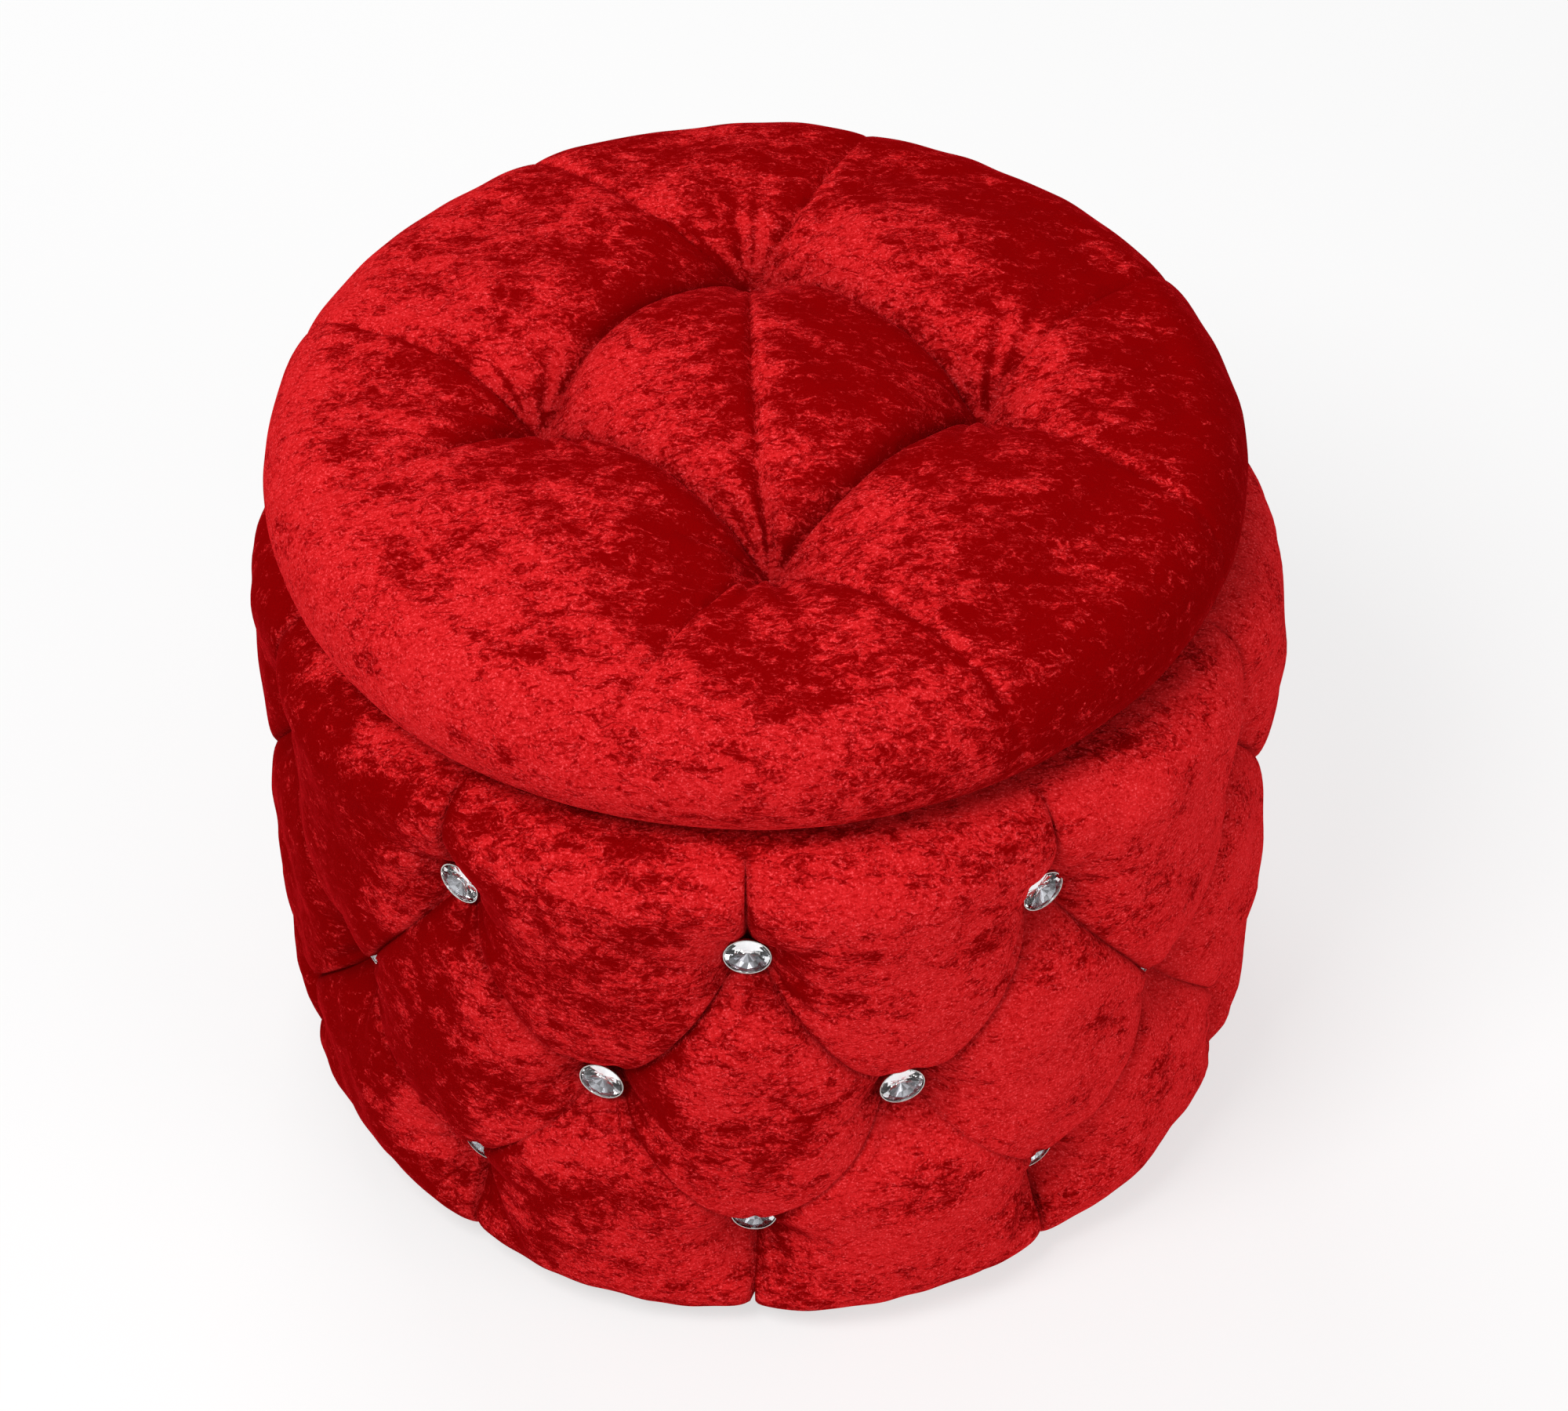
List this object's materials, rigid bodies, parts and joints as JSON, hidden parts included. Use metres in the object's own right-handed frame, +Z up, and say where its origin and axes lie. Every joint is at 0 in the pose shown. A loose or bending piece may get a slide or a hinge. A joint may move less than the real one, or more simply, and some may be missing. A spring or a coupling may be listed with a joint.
{
  "type": "storage ottoman",
  "caption": "Round padded storage ottoman: deep-buttoned velvet drum with crystal buttons, a lined well inside and a loose tufted cushion lid that lifts off.",
  "frame": {"origin": "on the floor, below the middle of the drum", "axes": "+Z up, -Y towards the front, where one button of the upper row faces"},
  "size_m": [0.456, 0.456, 0.37],
  "materials": {
    "red_velvet": "crushed velvet",
    "crystal": "cut and foiled",
    "nickel": "polished",
    "plywood": "raw birch plywood",
    "softwood": "planed pine",
    "hardboard": "smooth hardboard",
    "foam": "open-cell foam",
    "twine": "waxed twine",
    "toggle_plastic": "moulded",
    "black_lining": "woven lining on card",
    "dust_fabric": "spunbond",
    "staple_wire": "galvanised",
    "glide_plastic": "moulded",
    "zinc_steel": "zinc plated"
  },
  "bodies": {
    "base": {"base_board": "plywood", "top_ring": "plywood", "wall_wrap": "hardboard", "wall_foam": "foam", "side_cover": "red_velvet", "rim_cover": "red_velvet", "crystals_upper": "crystal", "crystals_middle": "crystal", "crystals_lower": "crystal", "button_cups_upper": "nickel", "button_cups_middle": "nickel", "button_cups_lower": "nickel", "button_twines": "twine", "twine_toggles": "toggle_plastic", "wall_lining": "black_lining", "floor_lining": "black_lining", "dust_cover": "dust_fabric", "dust_staples": "staple_wire", "glides": "glide_plastic", "glide_nails": "zinc_steel", "base_screws": "zinc_steel", "ring_screws": "zinc_steel", "batten_1": "softwood", "batten_2": "softwood", "batten_3": "softwood", "batten_4": "softwood", "batten_5": "softwood"},
    "lid": {"lid_board": "plywood", "lid_foam": "foam", "lid_cover": "red_velvet", "lid_tuft_buttons": "red_velvet", "lid_tuft_twines": "twine", "lid_tuft_toggles": "toggle_plastic", "locating_plug": "plywood", "plug_lining": "black_lining", "plug_screws": "zinc_steel", "plug_washers": "nickel", "lid_staples": "staple_wire"}
  },
  "joints": [
    {"name": "lid_lift", "type": "slide", "parent": "base", "child": "lid", "axis": [0, 0, 1], "range_m": [0, 0.25]}
  ]
}
